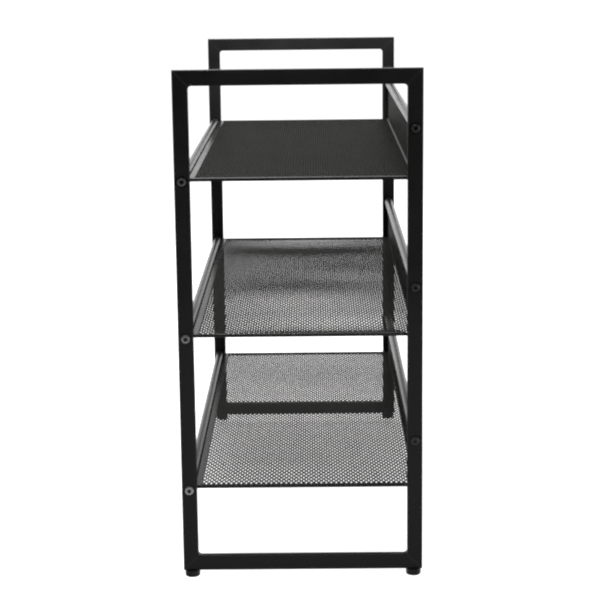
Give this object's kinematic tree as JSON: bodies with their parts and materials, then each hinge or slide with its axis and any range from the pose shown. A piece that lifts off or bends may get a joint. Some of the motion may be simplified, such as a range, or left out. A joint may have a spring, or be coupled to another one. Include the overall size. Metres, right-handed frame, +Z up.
{
  "type": "tiered shoe rack",
  "caption": "Low free-standing metal shoe rack with expanded-metal shelves between two welded rectangular side frames on screw-in feet.",
  "frame": {"origin": "on the floor, under the middle of the rack", "axes": "+X along the shelves towards the right side frame, +Y from the low front rails to the high back rails, +Z up"},
  "size_m": [0.709, 0.3, 0.635],
  "materials": {
    "frame_coat": "satin black powder coat",
    "rail_coat": "glossy black powder coat",
    "mesh_coat": "satin black powder coat",
    "black_bolt": "black oxide",
    "steel": "zinc plated",
    "foot_rubber": "moulded black"
  },
  "bodies": {
    "rack": {"right_front_upright": "frame_coat", "right_back_upright": "frame_coat", "right_bottom_beam": "frame_coat", "right_top_beam": "frame_coat", "right_corner_welds": "frame_coat", "left_front_upright": "frame_coat", "left_back_upright": "frame_coat", "left_bottom_beam": "frame_coat", "left_top_beam": "frame_coat", "left_corner_welds": "frame_coat", "bottom_front_rail": "rail_coat", "bottom_back_rail": "rail_coat", "bottom_mesh_sheet": "mesh_coat", "bottom_front_strip": "mesh_coat", "bottom_right_end_bar": "mesh_coat", "bottom_left_end_bar": "mesh_coat", "bottom_rail_plugs": "steel", "bottom_bolts": "black_bolt", "middle_front_rail": "rail_coat", "middle_back_rail": "rail_coat", "middle_mesh_sheet": "mesh_coat", "middle_front_strip": "mesh_coat", "middle_right_end_bar": "mesh_coat", "middle_left_end_bar": "mesh_coat", "middle_rail_plugs": "steel", "middle_bolts": "black_bolt", "top_front_rail": "rail_coat", "top_back_rail": "rail_coat", "top_mesh_sheet": "mesh_coat", "top_front_strip": "mesh_coat", "top_right_end_bar": "mesh_coat", "top_left_end_bar": "mesh_coat", "top_rail_plugs": "steel", "top_bolts": "black_bolt", "foot_nuts": "steel"},
    "right_front_stud": {"right_front_foot_stud": "steel"},
    "right_front_base": {"right_front_foot_base": "foot_rubber"},
    "right_back_stud": {"right_back_foot_stud": "steel"},
    "right_back_base": {"right_back_foot_base": "foot_rubber"},
    "left_front_stud": {"left_front_foot_stud": "steel"},
    "left_front_base": {"left_front_foot_base": "foot_rubber"},
    "left_back_stud": {"left_back_foot_stud": "steel"},
    "left_back_base": {"left_back_foot_base": "foot_rubber"}
  },
  "joints": [
    {"name": "right_front_foot_travel", "type": "slide", "parent": "rack", "child": "right_front_stud", "axis": [0, 0, -1], "range_m": [0, 0.008]},
    {"name": "right_front_foot_turn", "type": "hinge", "parent": "right_front_stud", "child": "right_front_base", "pos_m": [0.345, -0.139, 0], "axis": [0, 0, 1], "range_deg": [0, 2880]},
    {"name": "right_back_foot_travel", "type": "slide", "parent": "rack", "child": "right_back_stud", "axis": [0, 0, -1], "range_m": [0, 0.008]},
    {"name": "right_back_foot_turn", "type": "hinge", "parent": "right_back_stud", "child": "right_back_base", "pos_m": [0.345, 0.139, 0], "axis": [0, 0, 1], "range_deg": [0, 2880]},
    {"name": "left_front_foot_travel", "type": "slide", "parent": "rack", "child": "left_front_stud", "axis": [0, 0, -1], "range_m": [0, 0.008]},
    {"name": "left_front_foot_turn", "type": "hinge", "parent": "left_front_stud", "child": "left_front_base", "pos_m": [-0.345, -0.139, 0], "axis": [0, 0, 1], "range_deg": [0, 2880]},
    {"name": "left_back_foot_travel", "type": "slide", "parent": "rack", "child": "left_back_stud", "axis": [0, 0, -1], "range_m": [0, 0.008]},
    {"name": "left_back_foot_turn", "type": "hinge", "parent": "left_back_stud", "child": "left_back_base", "pos_m": [-0.345, 0.139, 0], "axis": [0, 0, 1], "range_deg": [0, 2880]}
  ],
  "couplings": [
    {"joint": "right_front_foot_travel", "follows": "right_front_foot_turn", "m_per_rad": 0.00015915},
    {"joint": "right_back_foot_travel", "follows": "right_back_foot_turn", "m_per_rad": 0.00015915},
    {"joint": "left_front_foot_travel", "follows": "left_front_foot_turn", "m_per_rad": 0.00015915},
    {"joint": "left_back_foot_travel", "follows": "left_back_foot_turn", "m_per_rad": 0.00015915}
  ]
}
